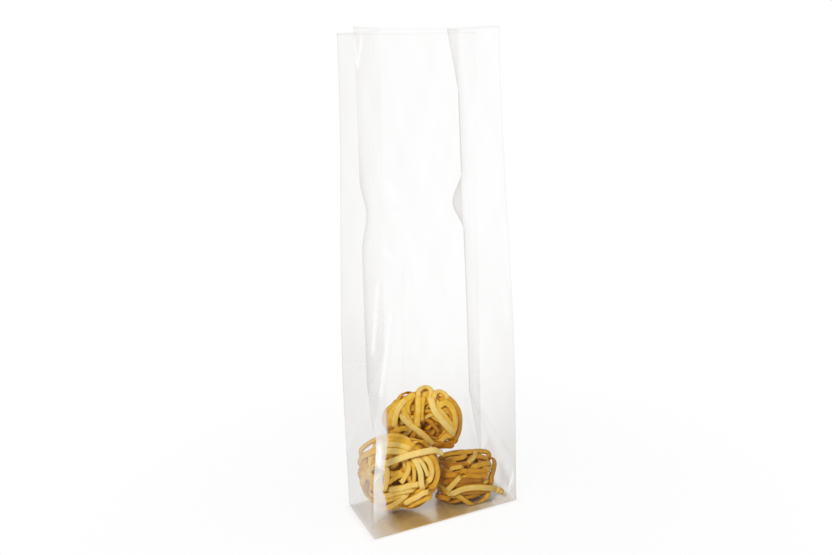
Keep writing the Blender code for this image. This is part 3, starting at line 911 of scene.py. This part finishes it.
def seen_on_nest(nest, rotation, centre, places):
    """Where sight lines through places of the frame meet a nest, in the nest's own axes."""
    right, above, ahead = camera_axes()
    focal = FRAME_WIDTH * CAMERA_LENS / SENSOR_WIDTH
    start = (np.array(CAMERA_PLACE) - centre) @ rotation
    found = []
    for x, y in places:
        way = ahead + right * (x - FRAME_WIDTH / 2) / focal + above * (FRAME_HEIGHT / 2 - y) / focal
        points = start + np.linspace(*SIGHT_REACH, SIGHT_STEPS)[:, None] * (way @ rotation)
        level = nest_level(nest, points)
        inside = np.nonzero(level <= 1.0)[0]
        if len(inside):
            found.append(points[inside[0]])
            continue
        nearest = points[[int(np.argmin(level))]]
        surface = on_nest(nest, nearest)[0]
        beyond = nearest[0] - surface
        length = np.linalg.norm(beyond)
        found.append(surface + beyond * min(1.0, STRAY / length))
    return np.array(found)


def through(points, fineness):
    """A smooth curve through points."""
    padded = np.vstack([2 * points[0] - points[1], points, 2 * points[-1] - points[-2]])
    share = np.linspace(0, 1, fineness, endpoint=False)[:, None]
    curve = []
    for a, b, c, d in zip(padded, padded[1:], padded[2:], padded[3:]):
        curve.append(0.5 * (2 * b + (c - a) * share + (2 * a - 5 * b + 4 * c - d) * share**2
                            + (3 * b - a - 3 * c + d) * share**3))
    return np.vstack([*curve, points[-1:]])


def placed_strands(nest, rotation, centre, store):
    """The strands that the photograph shows clearest, laid on the nest."""
    for strand in STRANDS[nest.name].values():
        curve = through(seen_on_nest(nest, rotation, centre, strand.places), STRAND_FINENESS)
        normal = surface_normal(nest, curve)
        back = (np.array(CAMERA_PLACE) - centre) @ rotation - curve
        back /= np.linalg.norm(back, axis=1)[:, None]
        facing = normal + VIEW_LEAN * back
        facing /= np.linalg.norm(facing, axis=1)[:, None]
        share = np.linspace(0, 1, len(curve))
        tuck = TUCK * (1 - ease(np.minimum(share, 1 - share), 0.0, TUCK_SHARE))
        middle = curve + normal * (strand.lift / 1000 - tuck)[:, None]
        widths = np.full(len(curve), strand.width / 1000)
        ribbon(middle, facing, widths, False, strand.tone - nest.dull, store)


def nest_core(nest, store):
    """The packed inside that shows between the strands, coloured dark as painted shade."""
    rings = CORE_RINGS
    sides = CORE_SIDES
    polar, angle = np.meshgrid(np.linspace(POLE_GAP, pi - POLE_GAP, rings),
                               np.linspace(0, 2 * pi, sides, endpoint=False), indexing="ij")
    across, depth, through = nest.size
    direction = np.column_stack([(across * np.sin(polar) * np.cos(angle)).ravel(),
                                 (depth * np.sin(polar) * np.sin(angle)).ravel(),
                                 (through * np.cos(polar)).ravel()])
    inner = nest._replace(size=tuple(size - 2 * CORE_DEPTH for size in nest.size))
    base = sum(len(p) for p in store["points"])
    store["points"].append(on_nest(inner, direction))
    store["tones"].append(np.full(rings * sides, CORE_PAINTED_SHADE))
    for ring in range(rings - 1):
        for side in range(sides):
            after = (side + 1) % sides
            low = base + ring * sides
            store["faces"].append([low + side, low + sides + side, low + sides + after, low + after])
    store["faces"].append([base + i for i in range(sides)])
    store["faces"].append([base + (rings - 1) * sides + i for i in reversed(range(sides))])


def make_nest(nest):
    node = "pasta_nest_" + nest.name
    low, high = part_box(node)
    centre = np.array((low + high) / 2)
    rotation = np.array(Euler([radians(a) for a in nest.turn]).to_matrix())
    store = {"points": [], "tones": [], "faces": []}
    nest_core(nest, store)
    nest_loops(nest, np.random.default_rng(nest.seed), store)
    placed_strands(nest, rotation, centre, store)
    mesh = bpy.data.meshes.new(node)
    points = np.concatenate(store["points"]) @ rotation.T + centre
    points = np.clip(points, np.array(BAG_LOW) + FILM_ROOM, np.array(BAG_HIGH) - FILM_ROOM)
    mesh.from_pydata(points.tolist(), [], store["faces"])
    mesh.update()
    mesh.shade_smooth()
    tone = mesh.attributes.new("tone", "FLOAT", "POINT")
    tone.data.foreach_set("value", np.concatenate(store["tones"]))
    mesh.materials.append(pasta_material(nest))
    made = bpy.data.objects.new("nest_" + nest.name, mesh)
    bpy.context.collection.objects.link(made)
    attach(made, "root")
    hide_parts(node)


WORLD_LIGHT = 0.45  # on the bag, where what is seen behind it is 1


def make_world():
    """White for what is seen behind the bag, and a plainer light on it."""
    world = bpy.data.worlds.new("studio")
    bpy.context.scene.world = world
    n = Nodes(world)
    light = n.add("Background", {"Color": WHITE, "Strength": WORLD_LIGHT}).outputs[0]
    seen = n.add("Background", {"Color": WHITE, "Strength": 1.0}).outputs[0]
    n.add("OutputWorld", {"Surface": n.blend(n.white_rays(), light, seen)})


FLOOR_REACH = 0.6
FLOOR_SIDES = 96
FLOOR_DROP = 0.0003  # below the film
FLOOR_WHITE = (0.98, 0.98, 0.98, 1.0)
FLOOR_FADE = (0.10, 0.35)  # distances over which the floor gives way to the white world
FLOOR_GLOW = 0.86  # share of the floor's white that the camera sees without the object's shadow
GLOW_START = (0.9, 1.1)  # from the middle of the bag's foot, as shares of its half width and half depth


def smooth_range(n, value, reach):
    """A smooth step from 0 to 1 over a range of a value."""
    inputs = {"Value": value, "From Min": reach[0], "From Max": reach[1]}
    return n.add("MapRange", inputs, interpolation_type="SMOOTHSTEP").outputs[0]


def floor_material():
    """A white floor that keeps the object's shadow and fades into the white world."""
    material = bpy.data.materials.new("floor_white")
    n = Nodes(material)
    place = n.add("TexCoord").outputs["Object"]
    shares = (2 / BAG_WIDTH, 2 / BAG_DEPTH, 0.0)  # of the half width and half depth, for each metre
    foot = n.add("VectorMath", {0: place, 1: shares}, operation="MULTIPLY").outputs[0]
    sides = n.add("SeparateXYZ", {0: n.add("VectorMath", {0: foot}, operation="ABSOLUTE").outputs[0]})
    outside = smooth_range(n, n.maths("MAXIMUM", sides.outputs[0], sides.outputs[1]), GLOW_START)
    glowing = n.maths("MULTIPLY", n.maths("MULTIPLY", n.white_rays(), outside), FLOOR_GLOW)
    white = n.add("BsdfDiffuse", {"Color": FLOOR_WHITE}).outputs[0]
    lit = n.blend(glowing, white, n.add("Emission").outputs[0])
    distance = n.add("VectorMath", {0: place}, operation="LENGTH").outputs["Value"]
    clear = n.add("BsdfTransparent").outputs[0]
    n.add("OutputMaterial", {"Surface": n.blend(smooth_range(n, distance, FLOOR_FADE), lit, clear)})
    return material


def make_floor():
    mesh = bpy.data.meshes.new("floor")
    turns = np.linspace(0, 2 * pi, FLOOR_SIDES, endpoint=False)
    rim = [(FLOOR_REACH * cos(t), FLOOR_REACH * sin(t), 0.0) for t in turns]
    mesh.from_pydata(rim, [], [list(range(FLOOR_SIDES))])
    mesh.materials.append(floor_material())
    floor = bpy.data.objects.new("floor", mesh)
    floor.location = (0, 0, -FLOOR_DROP)
    bpy.context.collection.objects.link(floor)


Lamp = namedtuple("Lamp", "name place size power")
LAMPS = (
    Lamp("key", (-0.85, -0.80, 0.95), 0.25, 12.0),
    Lamp("fill", (0.9, -0.5, 1.2), 0.8, 3.5),
)
LAMP_TARGET = (0, 0, 0.12)


def make_lamp(lamp):
    """A square area lamp, which shows in no reflection."""
    data = bpy.data.lights.new(lamp.name, "AREA")
    data.shape = "RECTANGLE"
    data.size = lamp.size
    data.size_y = lamp.size
    data.energy = lamp.power
    made = bpy.data.objects.new(lamp.name, data)
    bpy.context.collection.objects.link(made)
    made.location = lamp.place
    made.rotation_euler = (Vector(LAMP_TARGET) - Vector(lamp.place)).to_track_quat("-Z", "Y").to_euler()
    made.visible_glossy = False


def make_camera():
    right, above, ahead = camera_axes()
    data = bpy.data.cameras.new("camera")
    data.sensor_width = SENSOR_WIDTH
    data.lens = CAMERA_LENS
    data.clip_start = 0.01
    camera = bpy.data.objects.new("camera", data)
    bpy.context.collection.objects.link(camera)
    turn = Matrix((right, above, -ahead)).transposed()
    camera.matrix_world = Matrix.Translation(CAMERA_PLACE) @ turn.to_4x4()
    bpy.context.scene.camera = camera


make_film()
for nest in NESTS:
    make_nest(nest)
make_floor()
make_world()
for lamp in LAMPS:
    make_lamp(lamp)
make_camera()
bpy.context.scene.view_settings.view_transform = "Standard"
